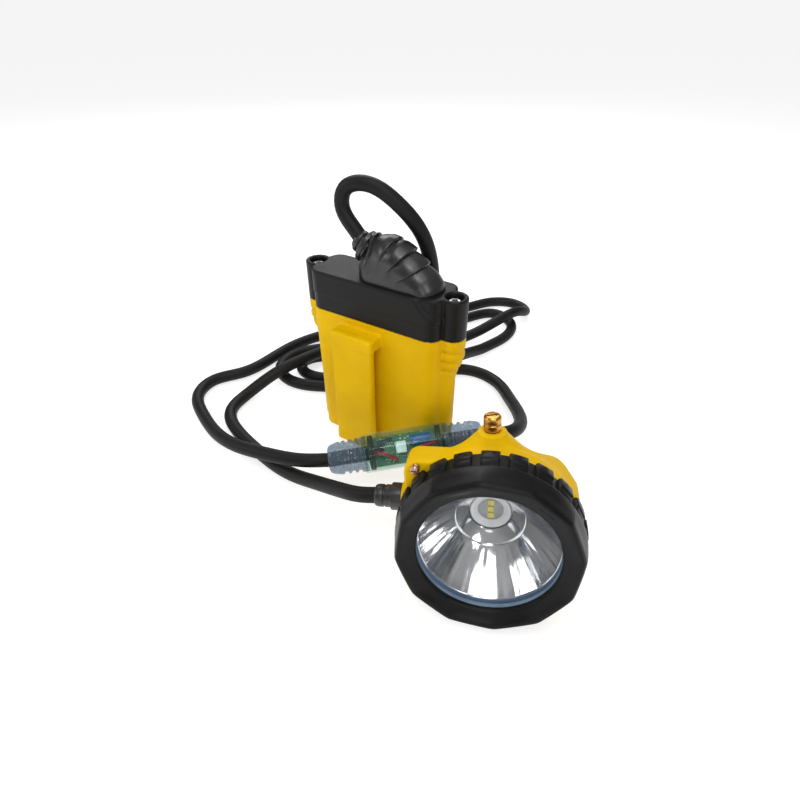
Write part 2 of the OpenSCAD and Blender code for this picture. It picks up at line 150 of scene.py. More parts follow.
def surface(name, dark, light, rough, patch=60, grain=1500, bump=0.15, dist=0.00012, metal=0.0, spec=0.5,
            coat=0.0, coat_rough=0.2, sheen=0.0, stretch=None, ior=1.5, marks=None, second=None):
    """Moulded, turned or drawn stuff: slow colour drift, grain in the bump and a roughness that wanders."""
    m, nt, out = material(name)
    b = nt.nodes.new("ShaderNodeBsdfPrincipled")
    drift = noise(nt, patch, 4.0, 0.6)
    fine = noise(nt, grain, 2.0, 0.6, stretch)
    col = ramp(nt, drift, [(0.3, dark), (0.7, light)])
    if marks:
        spots = noise(nt, marks[0], 5.0, 0.7)
        mix = nt.nodes.new("ShaderNodeMixRGB")
        nt.links.new(span(nt, spots, marks[1], marks[1] + 0.06, 0.0, marks[2]), mix.inputs["Fac"])
        nt.links.new(col, mix.inputs["Color1"])
        mix.inputs["Color2"].default_value = (*marks[3], 1)
        col = mix.outputs["Color"]
    nt.links.new(col, b.inputs["Base Color"])
    nt.links.new(span(nt, math_node(nt, "ADD", drift, math_node(nt, "MULTIPLY", fine, 0.5)), 0.45, 1.05, rough[0], rough[1]), b.inputs["Roughness"])
    b.inputs["Metallic"].default_value = metal
    b.inputs["Specular IOR Level"].default_value = spec
    b.inputs["IOR"].default_value = ior
    b.inputs["Coat Weight"].default_value = coat
    b.inputs["Coat Roughness"].default_value = coat_rough
    b.inputs["Sheen Weight"].default_value = sheen
    height = fine
    if second:
        other = noise(nt, second[0], 3.0, 0.6)
        height = math_node(nt, "ADD", fine, math_node(nt, "MULTIPLY", other, second[1]))
    bm = nt.nodes.new("ShaderNodeBump")
    bm.inputs["Strength"].default_value = bump
    bm.inputs["Distance"].default_value = dist
    nt.links.new(height, bm.inputs["Height"])
    nt.links.new(bm.outputs["Normal"], b.inputs["Normal"])
    nt.links.new(b.outputs["BSDF"], out.inputs["Surface"])
    return m


def clear(name, tint, milk, milk_share, gloss_rough=0.06, rim=0.9, least=0.04, bump=0.0, scale=300):
    """Clear moulding: light goes through tinted, the surface shines at glancing angles, and a little is milky."""
    m, nt, out = material(name)
    t = nt.nodes.new("ShaderNodeBsdfTransparent")
    t.inputs["Color"].default_value = (*tint, 1)
    d = nt.nodes.new("ShaderNodeBsdfDiffuse")
    nt.links.new(ramp(nt, noise(nt, scale, 3), [(0.35, tuple(x * 0.82 for x in milk)), (0.65, milk)]), d.inputs["Color"])
    g = nt.nodes.new("ShaderNodeBsdfGlossy")
    g.inputs["Roughness"].default_value = gloss_rough
    g.inputs["Color"].default_value = (1, 1, 1, 1)
    f = nt.nodes.new("ShaderNodeLayerWeight")
    f.inputs["Blend"].default_value = 0.5
    if bump:
        bm = nt.nodes.new("ShaderNodeBump")
        bm.inputs["Strength"].default_value = bump
        bm.inputs["Distance"].default_value = 0.0004
        nt.links.new(noise(nt, scale, 3), bm.inputs["Height"])
        for n in (d, g, f):
            nt.links.new(bm.outputs["Normal"], n.inputs["Normal"])
    a = nt.nodes.new("ShaderNodeMixShader")
    if milk_share:
        nt.links.new(span(nt, noise(nt, scale * 1.7, 4), 0.35, 0.65, milk_share * 0.6, milk_share * 1.3), a.inputs["Fac"])
    else:
        a.inputs["Fac"].default_value = 0.0
    nt.links.new(t.outputs[0], a.inputs[1])
    nt.links.new(d.outputs[0], a.inputs[2])
    b = nt.nodes.new("ShaderNodeMixShader")
    nt.links.new(span(nt, math_node(nt, "POWER", f.outputs["Facing"], 5.0), 0.0, 1.0, least, rim), b.inputs["Fac"])
    nt.links.new(a.outputs[0], b.inputs[1])
    nt.links.new(g.outputs[0], b.inputs[2])
    nt.links.new(b.outputs[0], out.inputs["Surface"])
    return m


YELLOW = surface("yellow_moulding", (0.72, 0.425, 0.0009), (0.81, 0.50, 0.0014), (0.34, 0.50), patch=38, grain=2600, bump=0.10,
                 dist=0.00008, spec=0.07, second=(420, 0.5))
BLACK = surface("black_moulding", (0.0050, 0.0050, 0.0053), (0.0080, 0.0080, 0.0084), (0.36, 0.52), patch=45, grain=2100, bump=0.30,
                dist=0.00012, spec=0.20, second=(500, 0.6))
BEZEL = surface("bezel_moulding", (0.0045, 0.0045, 0.0048), (0.0072, 0.0072, 0.0076), (0.28, 0.44), patch=60, grain=1400, bump=0.45,
                dist=0.00016, spec=0.16, second=(600, 0.7), marks=(900, 0.66, 0.35, (0.02, 0.02, 0.021)))
BOOT = surface("boot_rubber", (0.0048, 0.0048, 0.0055), (0.0078, 0.0078, 0.0088), (0.29, 0.42), patch=70, grain=900, bump=0.30,
               dist=0.00014, spec=0.70, second=(260, 0.6), marks=(700, 0.67, 0.3, (0.02, 0.02, 0.022)))
CABLE = surface("cable_sheath", (0.0060, 0.0060, 0.0063), (0.0095, 0.0095, 0.0099), (0.42, 0.58), patch=90, grain=1800, bump=0.3,
                dist=0.00012, spec=0.20, second=(240, 0.6), marks=(1200, 0.7, 0.25, (0.025, 0.025, 0.025)))
BRASS = surface("turned_brass", (0.50, 0.25, 0.045), (0.68, 0.38, 0.09), (0.20, 0.32), patch=90, grain=1500, bump=0.15,
                dist=0.00005, metal=1.0, marks=(420, 0.66, 0.35, (0.20, 0.08, 0.02)))
COPPER = surface("coppery_screw", (0.34, 0.19, 0.13), (0.62, 0.44, 0.36), (0.16, 0.36), patch=500, grain=1800, bump=0.3,
                 dist=0.00008, metal=1.0)
STEEL = surface("screw_steel", (0.48, 0.48, 0.48), (0.66, 0.66, 0.65), (0.22, 0.38), patch=300, grain=1600, bump=0.3,
                dist=0.00006, metal=1.0, stretch=(1, 5, 1))
HOOK = surface("hook_steel", (0.42, 0.42, 0.43), (0.60, 0.60, 0.61), (0.24, 0.42), patch=90, grain=1400, bump=0.3,
               dist=0.00006, metal=1.0, stretch=(1, 1, 8))
NICKEL = surface("nickel_strip", (0.50, 0.49, 0.45), (0.68, 0.67, 0.62), (0.2, 0.35), metal=1.0, stretch=(6, 1, 1))
ALU = surface("die_cast", (0.50, 0.51, 0.52), (0.68, 0.69, 0.70), (0.30, 0.48), patch=120, grain=1300, bump=0.4, metal=1.0)
WHITE = surface("white_moulding", (0.72, 0.72, 0.71), (0.86, 0.86, 0.85), (0.28, 0.42), patch=160, grain=1800, bump=0.1)
SEALG = surface("seal_blue_grey", (0.14, 0.21, 0.31), (0.22, 0.30, 0.42), (0.30, 0.5), patch=90, grain=1500, bump=0.2)
FOAM = surface("grey_foam", (0.13, 0.13, 0.14), (0.22, 0.22, 0.23), (0.8, 0.95), patch=200, grain=900, bump=0.8, dist=0.0003)
GASKET = surface("black_gasket", (0.012, 0.012, 0.013), (0.022, 0.022, 0.024), (0.5, 0.7), grain=1400, bump=0.3)
WRAP = surface("cell_wrap", (0.012, 0.16, 0.19), (0.02, 0.23, 0.26), (0.18, 0.3), patch=80, grain=700, bump=0.15, coat=0.3)
RED = surface("red_wire", (0.42, 0.006, 0.03), (0.62, 0.015, 0.06), (0.28, 0.42), patch=300, grain=1200, bump=0.15)
BLUE = surface("blue_film", (0.008, 0.10, 0.42), (0.015, 0.19, 0.62), (0.14, 0.26), patch=200, grain=600, bump=0.15, coat=0.3)
CHIP = surface("chip_black", (0.012, 0.012, 0.014), (0.03, 0.03, 0.033), (0.32, 0.5), patch=400, grain=2600, bump=0.2)
PAD = surface("led_board_grey", (0.30, 0.31, 0.32), (0.42, 0.43, 0.44), (0.3, 0.45), patch=260, grain=1800, bump=0.15)
DIE = surface("led_phosphor", (0.62, 0.50, 0.03), (0.88, 0.78, 0.12), (0.25, 0.4), patch=900, grain=2600, bump=0.15, coat=0.4)
LENS = clear("clear_lens", (0.985, 0.99, 0.995), (0.8, 0.85, 0.9), 0.0, 0.015, 0.7, 0.012)
SLEEVE = clear("clear_sleeve", (0.86, 0.93, 0.91), (0.10, 0.22, 0.20), 0.07, 0.06, 0.45, 0.008, 0.2, 260)
CUP = clear("clear_cup", (0.60, 0.68, 0.75), (0.16, 0.22, 0.28), 0.34, 0.10, 0.7, 0.03, 0.3, 420)


def chrome():
    m, nt, out = material("vacuum_metal")
    b = nt.nodes.new("ShaderNodeBsdfPrincipled")
    b.inputs["Metallic"].default_value = 1.0
    nt.links.new(ramp(nt, noise(nt, 60, 2), [(0.3, (0.64, 0.64, 0.65)), (0.7, (0.72, 0.72, 0.725))]), b.inputs["Base Color"])
    nt.links.new(span(nt, noise(nt, 260, 4), 0.35, 0.7, 0.07, 0.15), b.inputs["Roughness"])
    bm = nt.nodes.new("ShaderNodeBump")
    bm.inputs["Strength"].default_value = 0.06
    bm.inputs["Distance"].default_value = 0.0004
    nt.links.new(noise(nt, 120, 2), bm.inputs["Height"])
    nt.links.new(bm.outputs["Normal"], b.inputs["Normal"])
    nt.links.new(b.outputs[0], out.inputs["Surface"])
    return m


def circuit(name):
    """Green solder mask with raised copper tracks, bright pads and a fine weave."""
    m, nt, out = material(name)
    b = nt.nodes.new("ShaderNodeBsdfPrincipled")
    tc = nt.nodes.new("ShaderNodeTexCoord")
    br = nt.nodes.new("ShaderNodeTexBrick")
    br.inputs["Scale"].default_value = 210
    br.inputs["Mortar Size"].default_value = 0.05
    br.inputs["Color1"].default_value = (0.008, 0.105, 0.038, 1)
    br.inputs["Color2"].default_value = (0.013, 0.15, 0.055, 1)
    br.inputs["Mortar"].default_value = (0.03, 0.24, 0.09, 1)
    nt.links.new(tc.outputs["Object"], br.inputs["Vector"])
    v = nt.nodes.new("ShaderNodeTexVoronoi")
    v.inputs["Scale"].default_value = 330
    nt.links.new(tc.outputs["Object"], v.inputs["Vector"])
    mix = nt.nodes.new("ShaderNodeMixRGB")
    nt.links.new(span(nt, v.outputs["Distance"], 0.16, 0.2, 1.0, 0.0), mix.inputs["Fac"])
    nt.links.new(br.outputs["Color"], mix.inputs["Color1"])
    mix.inputs["Color2"].default_value = (0.45, 0.45, 0.40, 1)
    nt.links.new(mix.outputs["Color"], b.inputs["Base Color"])
    nt.links.new(span(nt, noise(nt, 500, 3), 0.3, 0.7, 0.2, 0.36), b.inputs["Roughness"])
    bm = nt.nodes.new("ShaderNodeBump")
    bm.inputs["Strength"].default_value = 0.3
    bm.inputs["Distance"].default_value = 0.0001
    nt.links.new(br.outputs["Fac"], bm.inputs["Height"])
    nt.links.new(bm.outputs["Normal"], b.inputs["Normal"])
    nt.links.new(b.outputs[0], out.inputs["Surface"])
    return m


CHROME = chrome()
PCB = circuit("circuit_green")


# ---------------------------------------------------------------- mesh tools
def build(name, verts, faces, place=as_is, body="root", stands_for=(), mat=None, sharp=38, ride=True):
    """verts in millimetres in place's own frame."""
    me = bpy.data.meshes.new(name)
    me.from_pydata((place(verts) * MM).tolist(), [], [list(map(int, f)) for f in faces])
    me.validate()
    bm = bmesh.new()
    bm.from_mesh(me)
    bmesh.ops.remove_doubles(bm, verts=bm.verts, dist=1e-7)
    bmesh.ops.recalc_face_normals(bm, faces=bm.faces)
    bm.to_mesh(me)
    bm.free()
    me.shade_smooth()
    if sharp:
        me.set_sharp_from_angle(angle=rad(sharp))
    o = bpy.data.objects.new(name, me)
    bpy.context.scene.collection.objects.link(o)
    if mat:
        me.materials.append(mat)
    if ride:
        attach(o, body)
        if stands_for:
            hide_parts(*stands_for)
    return o


def join(parts):
    """[(verts, faces), ...] as one."""
    vs, fs, n = [], [], 0
    for v, f in parts:
        v = np.asarray(v, float)
        vs.append(v)
        fs += [[i + n for i in face] for face in f]
        n += len(v)
    return np.concatenate(vs), fs


def fillet(pts, seg=4, closed=False):
    """pts: (a, b) or (a, b, size); corners with a size are rounded."""
    out, n = [], len(pts)
    for i, p in enumerate(pts):
        r = p[2] if len(p) > 2 else 0
        p2 = np.array(p[:2], float)
        if r <= 0 or (not closed and i in (0, n - 1)):
            out.append(tuple(p2))
            continue
        a, b = np.array(pts[i - 1][:2], float), np.array(pts[(i + 1) % n][:2], float)
        la, lb = np.linalg.norm(a - p2), np.linalg.norm(b - p2)
        ra, rb = min(r, la * 0.49), min(r, lb * 0.49)
        s, e = p2 + (a - p2) / la * ra, p2 + (b - p2) / lb * rb
        for k in range(seg + 1):
            t = k / seg
            out.append(tuple((1 - t) ** 2 * s + 2 * t * (1 - t) * p2 + t * t * e))
    return out


def lathe(profile, n=96, axis="z", shape=None, closed=False, centre=(0, 0, 0), turn=0.0):
    """profile: (radius, height) from one end to the other; shape(theta, r, h) may change the radius."""
    th = np.arange(n) * 2 * math.pi / n + turn
    vs, rings = [], []
    count = 0
    for r, h in profile:
        if r < 1e-6 and not closed:
            vs.append(np.array([[0, 0, h]]))
            rings.append([count] * n)
            count += 1
            continue
        rr = shape(th, np.full(n, float(r)), h) if shape else np.full(n, float(r))
        vs.append(np.stack([rr * np.cos(th), rr * np.sin(th), np.full(n, float(h))], 1))
        rings.append(list(range(count, count + n)))
        count += n
    fs = []
    m = len(rings)
    for i in range(m if closed else m - 1):
        a, b = rings[i], rings[(i + 1) % m]
        for j in range(n):
            k = (j + 1) % n
            face = [a[j], a[k], b[k], b[j]]
            face = [x for q, x in enumerate(face) if x not in face[:q]]
            if len(face) > 2:
                fs.append(face)
    if not closed:
        for ring, flip in ((rings[0], True), (rings[-1], False)):
            if len(set(ring)) > 2:
                fs.append(ring[::-1] if flip else ring)
    v = np.concatenate(vs)
    if axis == "y":
        v = np.stack([v[:, 0], v[:, 2], -v[:, 1]], 1)
    elif axis == "-y":
        v = np.stack([v[:, 0], -v[:, 2], v[:, 1]], 1)
    elif axis == "x":
        v = np.stack([v[:, 2], v[:, 0], v[:, 1]], 1)
    return v + np.array(centre, float), fs


def loft(rings, caps=True):
    n = len(rings[0])
    v = np.concatenate(rings)
    fs = []
    for i in range(len(rings) - 1):
        for j in range(n):
            k = (j + 1) % n
            fs.append([i * n + j, i * n + k, (i + 1) * n + k, (i + 1) * n + j])
    if caps:
        fs.append(list(range(n))[::-1])
        fs.append([(len(rings) - 1) * n + j for j in range(n)])
    return v, fs


def block(x0, x1, y0, y1, z0, z1, r=0.3):
    """A box with rounded upright edges and a chamfered top and bottom."""
    def outline(o):
        pts = fillet([(x0 + o, y0 + o, r), (x1 - o, y0 + o, r), (x1 - o, y1 - o, r), (x0 + o, y1 - o, r)], 3, closed=True)
        return np.array(pts)
    rows = []
    for o, z in ((r * 0.6, z0), (0, z0 + r * 0.6), (0, z1 - r * 0.6), (r * 0.6, z1)):
        p = outline(o)
        rows.append(np.column_stack([p, np.full(len(p), z)]))
    return loft(rows)


def boolean(obj, cutters):
    """Cuts every (verts, faces, place) from obj and keeps the result as its mesh."""
    for v, f, place in cutters:
        c = build("cutter", v, f, place, ride=False, sharp=None)
        mod = obj.modifiers.new("cut", "BOOLEAN")
        mod.object = c
        mod.operation = "DIFFERENCE"
        mod.solver = "EXACT"
        bpy.context.view_layer.update()
        me = bpy.data.meshes.new_from_object(obj.evaluated_get(bpy.context.evaluated_depsgraph_get()))
        old = obj.data
        obj.modifiers.clear()
        obj.data = me
        bpy.data.meshes.remove(old)
        bpy.data.objects.remove(c)
    obj.data.shade_smooth()
    obj.data.set_sharp_from_angle(angle=rad(32))
    return obj


# distance fields, for mouldings whose faces run into each other
def box2(x, y, hx, hy, r):
    qx, qy = np.abs(x) - hx + r, np.abs(y) - hy + r
    return np.hypot(np.maximum(qx, 0), np.maximum(qy, 0)) + np.minimum(np.maximum(qx, qy), 0) - r


def slab(d2, z, z0, z1, r):
    a, b = d2 + r, np.abs(z - (z0 + z1) / 2) - (z1 - z0) / 2 + r
    return np.minimum(np.maximum(a, b), 0) + np.hypot(np.maximum(a, 0), np.maximum(b, 0)) - r


def brick(p, x0, x1, y0, y1, z0, z1, r):
    c = np.array([(x0 + x1) / 2, (y0 + y1) / 2, (z0 + z1) / 2])
    h = np.array([(x1 - x0) / 2, (y1 - y0) / 2, (z1 - z0) / 2])
    q = np.abs(p - c) - h + r
    return np.linalg.norm(np.maximum(q, 0), axis=1) + np.minimum(q.max(1), 0) - r


def smin(a, b, k):
    h = np.clip(0.5 + 0.5 * (b - a) / k, 0, 1)
    return b * (1 - h) + a * h - k * h * (1 - h)


def smax(a, b, k):
    return -smin(-a, -b, k)


def smooth(t):
    t = np.clip(t, 0, 1)
    return t * t * (3 - 2 * t)


def poly2(x, y, pts):
    """Signed distance to a closed polygon."""
    pts = np.array(pts, float)
    d = np.full(x.shape, 1e18)
    inside = np.zeros(x.shape, bool)
    for i in range(len(pts)):
        a, b = pts[i], pts[i - 1]
        e = b - a
        wx, wy = x - a[0], y - a[1]
        t = np.clip((wx * e[0] + wy * e[1]) / (e @ e), 0, 1)
        d = np.minimum(d, (wx - t * e[0]) ** 2 + (wy - t * e[1]) ** 2)
        cross = ((a[1] > y) != (b[1] > y)) & (x < (b[0] - a[0]) * (y - a[1]) / (b[1] - a[1] + 1e-12) + a[0])
        inside ^= cross
    return np.where(inside, -1.0, 1.0) * np.sqrt(d)


def net(f, lo, hi, h, steps=3):
    """Mesh of f = 0 as quads, one vertex a cell, moved on to the surface."""
    lo = np.array(lo, float)
    n = np.ceil((np.array(hi, float) - lo) / h).astype(int) + 1
    gx, gy, gz = np.meshgrid(*[lo[i] + h * np.arange(n[i]) for i in range(3)], indexing="ij")
    d = f(np.stack([gx, gy, gz], -1).reshape(-1, 3)).reshape(n) + 1e-7
    ins = d < 0
    total = sum(ins[i:n[0] - 1 + i, j:n[1] - 1 + j, k:n[2] - 1 + k].astype(np.int8) for i in (0, 1) for j in (0, 1) for k in (0, 1))
    act = (total > 0) & (total < 8)
    idx = np.full(act.shape, -1, int)
    idx[act] = np.arange(act.sum())
    cells = np.argwhere(act)
    pos, cnt = np.zeros((len(cells), 3)), np.zeros(len(cells))
    for ax in range(3):
        o1, o2 = [a for a in range(3) if a != ax]
        for i in (0, 1):
            for j in (0, 1):
                off = np.zeros(3, int)
                off[o1], off[o2] = i, j
                e = np.zeros(3, int)
                e[ax] = 1
                a, b = cells + off, cells + off + e
                da, db = d[a[:, 0], a[:, 1], a[:, 2]], d[b[:, 0], b[:, 1], b[:, 2]]
                hit = (da < 0) != (db < 0)
                t = np.where(hit, da / np.where(hit, da - db, 1), 0)
                p = off + t[:, None] * e
                pos[hit] += p[hit]
                cnt[hit] += 1
    p = lo + h * (cells + pos / cnt[:, None])
    eps = 0.04
    start = p.copy()
    for _ in range(steps):
        v = f(p)
        g = np.stack([f(p + eps * np.eye(3)[i]) - f(p - eps * np.eye(3)[i]) for i in range(3)], 1) / (2 * eps)
        g2 = np.maximum((g * g).sum(1), 0.05)
        p = p - (v / g2)[:, None] * g
    away = np.linalg.norm(p - start, axis=1)
    p = np.where((away < h)[:, None], p, start)
    quads = []
    for ax in range(3):
        o1, o2 = [a for a in range(3) if a != ax]
        sl_a = [slice(1, n[k] - 1) for k in range(3)]
        sl_b = list(sl_a)
        sl_a[ax], sl_b[ax] = slice(0, n[ax] - 1), slice(1, n[ax])
        a, b = ins[tuple(sl_a)], ins[tuple(sl_b)]
        g = np.argwhere(a != b)
        flip = a[tuple(g.T)]
        base = g.copy()
        base[:, o1] += 1
        base[:, o2] += 1
        def cell(d1, d2):
            c = base.copy()
            c[:, o1] -= d1
            c[:, o2] -= d2
            return idx[c[:, 0], c[:, 1], c[:, 2]]
        q = np.stack([cell(1, 1), cell(0, 1), cell(0, 0), cell(1, 0)], 1)
        if ax == 1:
            flip = ~flip
        q[~flip] = q[~flip][:, ::-1]
        quads.append(q)
    q = np.concatenate(quads)
    return p, q[(q >= 0).all(1)].tolist()


# ---------------------------------------------------------------- the lead
ROUTE_A = [[-11.5, 0, 137], [-20, 0, 146], [-28, 1, 156], [-26.5, 2, 166], [-14, 5, 170.5], [3, 10, 162], [15, 17, 146],
           [20, 24, 120], [20, 26, 94], [14, 33, 64], [0, 46, 35], [-22, 58, 17], [-48, 61, 6], [-76, 57, 5], [-99, 47, 5],
           [-105, 33, 5], [-94, 22, 5], [-70, 26, 5], [-44, 38, 5], [-20, 60, 5], [-3, 82, 5], [14, 96, 5], [38, 96, 5],
           [62, 74, 10], [80, 48, 19], [90, 20, 29], [86, 4, 34], [76, -4, 34]]
ROUTE_B = [[0, -63, 21], [-14, -71, 20], [-40, -77, 17], [-68, -78, 12], [-96, -72, 7], [-122, -61, 5], [-144, -45, 5],
           [-148, -26, 5], [-137, -6, 5], [-132, 20, 5], [-130, 48, 5], [-118, 80, 5], [-98, 111, 5], [-74, 143, 5],
           [-50, 173, 5], [-33, 198, 5], [-17, 221, 5], [4, 227, 5], [18, 214, 8], [17, 193, 16], [6, 167, 13], [-14, 136, 5],
           [-42, 110, 5], [-74, 86, 5], [-102, 62, 5], [-119, 38, 5], [-116, 17, 5], [-98, 7, 5], [-76, 11, 5], [-58, 20.5, 5],
           [-32, 30, 7], [-10, 53, 12], [3, 80, 16.6], [7, 106, 12], [12, 134, 5], [20, 163, 5], [13, 190, 5], [-7, 198, 5],
           [-24, 178, 5], [-42, 149, 5], [-62, 116, 8], [-76, 86, 15], [-87, 56, 15], [-95, 27, 16], [-103, 0, 14],
           [-111, -24, 6], [-106, -48, 5], [-86, -61, 5], [-58, -69, 5], [-28, -75, 7], [2, -79, 16], [30, -85, 29],
           [44, -86, 35], [52.4, -82.7, 36.6]]
CORD_R = 4.5


def spline(pts, step=2.4):
    """Smooth line through every point, at chord-length parameters, with the outer directions free."""
    p = np.array(pts, float)
    t = np.concatenate([[0], np.cumsum(np.linalg.norm(np.diff(p, axis=0), axis=1))])
    n = len(p)
    a, b = np.zeros((n, n)), np.zeros((n, 3))
    a[0, 0] = a[-1, -1] = 1
    for i in range(1, n - 1):
        h0, h1 = t[i] - t[i - 1], t[i + 1] - t[i]
        a[i, i - 1], a[i, i], a[i, i + 1] = h0, 2 * (h0 + h1), h1
        b[i] = 6 * ((p[i + 1] - p[i]) / h1 - (p[i] - p[i - 1]) / h0)
    m = np.linalg.solve(a, b)
    s = np.linspace(0, t[-1], int(t[-1] / step) + 1)
    k = np.clip(np.searchsorted(t, s, side="right") - 1, 0, n - 2)
    h = (t[k + 1] - t[k])[:, None]
    u, v = (t[k + 1] - s)[:, None], (s - t[k])[:, None]
    q = (m[k] * u ** 3 + m[k + 1] * v ** 3) / (6 * h) + (p[k] / h - m[k] * h / 6) * u + (p[k + 1] / h - m[k + 1] * h / 6) * v
    low = np.clip((30 - q[:, 2]) / 25, 0, 1)
    q[:, 2] = np.maximum(q[:, 2] - 0.42 * low, CORD_R + 0.08)
    return q


def tube(line, r, sides=20):
    """Round tube along a line, closed with flat caps at its ends."""
    t = np.gradient(line, axis=0)
    t /= np.linalg.norm(t, axis=1)[:, None]
    nrm = np.array([0.31, 0.95, 0.05])
    rings = []
    a = np.arange(sides) * 2 * math.pi / sides
    for i, c in enumerate(line):
        nrm = nrm - (nrm @ t[i]) * t[i]
        nrm /= np.linalg.norm(nrm)
        bn = np.cross(t[i], nrm)
        rings.append(c + r * (np.cos(a)[:, None] * nrm + np.sin(a)[:, None] * bn))
    return loft(rings)


LINE_A, LINE_B = spline(ROUTE_A), spline(ROUTE_B)
for nm, line, node in (("lead_from_battery", LINE_A, "cord_battery"), ("lead_to_head", LINE_B, "cord_head")):
    v, f = tube(line, CORD_R)
    build(nm, v, f, stands_for=[node], mat=CABLE, sharp=60)


# ---------------------------------------------------------------- battery case
def case_field(p):
    x, y, z = p[:, 0], p[:, 1], p[:, 2]
    t = np.clip(z / 94.5, 0, 1.05)
    d = slab(box2(x, y, 44.8 + 1.2 * t, 14.3 + 1.2 * t, 8), z, 0, 98, 1.5)
    u = smooth((z - 64) / 20)
    cx, r = 45.5 + 3.5 * u, 6.5 + 1.5 * u
    for zg in (86.2, 79.7, 73.2):
        r = r - 1.0 * np.exp(-((z - zg) / 1.1) ** 2)
    d = smin(d, slab(np.hypot(np.abs(x) - cx, y) - r, z, 0, 98, 1.5), 1.6)
    strap = brick(p, -21.5, 8.5, -27, -22.4, 4, 89.5, 1.3)
    ends = np.minimum(brick(p, -21.5, 8.5, -27, -12, 81, 89.5, 1.3), brick(p, -21.5, 8.5, -27, -12, 4, 12, 1.3))
    d = smin(d, smin(strap, ends, 1.4), 1.6)
    cavity = slab(box2(x, y, 42.6, 12.1, 5), z, 3, 120, 1.0)
    holes = slab(np.hypot(np.abs(x) - 49, y) - 2.9, z, 84, 120, 0.3)
    d = np.maximum(d, -np.minimum(cavity, holes))
    return np.maximum(d, z - 94.5)


v, f = net(case_field, (-60, -30, -2), (60, 18, 97), 1.0)
build("battery_case_shell", v, f, stands_for=["battery_case"], mat=YELLOW, sharp=50)


# ---------------------------------------------------------------- lid
def lid_field(p):
    x, y, z = p[:, 0], p[:, 1], p[:, 2]
    up = 0.35 * smooth((z - 104.3) / 1.0)
    s = np.abs(x)
    # the front face steps back along a slope near its right end
    slope = (x - 29) * 0.747 + (z - 120) * 0.664
    back = 2.0 * smooth(slope / 3.2) * smooth((z - 106) / 8)
    outline = box2(x, np.where(y < 0, y - back, y), 46 - 0.35 + up, 15.5 - 0.35 + up, 8)
    edge = 1.1
    dz = z - 120
    a, b = outline + edge, dz + edge
    body = np.minimum(np.maximum(a, b), 0) + np.hypot(np.maximum(a, 0), np.maximum(b, 0)) - edge
    ears = slab(np.hypot(s - 49, y) - 7.95, z, 80, 120, 0.9)
    web = slab(box2(s - 46, y, 3, 6.6, 1), z, 80, 120, 0.9)
    d = smin(body, np.minimum(ears, web), 0.9)
    cavity = slab(box2(x, y, 42.4, 12, 5), z, 80, 117.4, 1)
    rebate = slab(box2(x, y, 44.6, 14.5, 7), z, 80, 95.8, 0.2)
    shaft = np.hypot(s - 49, y) - 2.3
    recess = slab(np.hypot(s - 49, y) - 5.1 - 0.7 * smooth((z - 119.2) / 0.8), z, 112, 140, 0.4)
    entry = slab(np.hypot(x - 20, y) - 6.15, z, 110, 140, 0.2)
    for c in (cavity, rebate, shaft, recess, entry):
        d = np.maximum(d, -c)
    return np.maximum(d, 94.5 - z)


v, f = net(lid_field, (-60, -18, 92), (60, 18, 122), 0.8)
build("battery_lid_shell", v, f, stands_for=["battery_lid"], mat=BLACK, sharp=50)

# screws with a hexagon socket
for i, s in enumerate((-1, 1)):
    head = fillet([(0, 85.5), (2, 85.5, 0.2), (2, 112.0), (3.9, 112.0, 0.2), (3.9, 116.7, 0.9), (3.2, 117.4), (0, 117.4)], 3)
    v, f = lathe(head, 40, centre=(49 * s, 0, 0))
    o = build(f"lid_screw_{i + 1}", v, f, stands_for=["lid_screws"] if i == 0 else (), mat=STEEL, sharp=32)
    hx = lathe([(2.0, 114.4), (2.0, 119)], 6, centre=(49 * s, 0, 0), turn=0.3)
    boolean(o, [(hx[0], hx[1], as_is)])

# ---------------------------------------------------------------- rubber boot
BOOT_SIDE = [(-13.8, 119.6), (41.6, 119.6), (40.9, 122), (39.9, 124.4), (36.8, 128.6), (35.2, 130.3), (27.7, 136.8), (21.5, 141.4), (15.3, 145.0),
             (6, 147.0), (1.4, 146.8), (-3.2, 146.0), (-6.4, 145.0), (-15.4, 128.0), (-13.8, 124.2)]
# (rim point, pivot, depth): each cup has a rounded rim, a sharp foot under it, and the next cup swells out again
SKIRTS = [((30.6, 133.6), (13.5, 121.2), 1.5), ((21.6, 140.6), (7.6, 124.8), 1.9), ((11.7, 145.8), (1.0, 125.0), 1.3),
          ((-1.6, 146.4), (-7.0, 127.0), 1.5)]


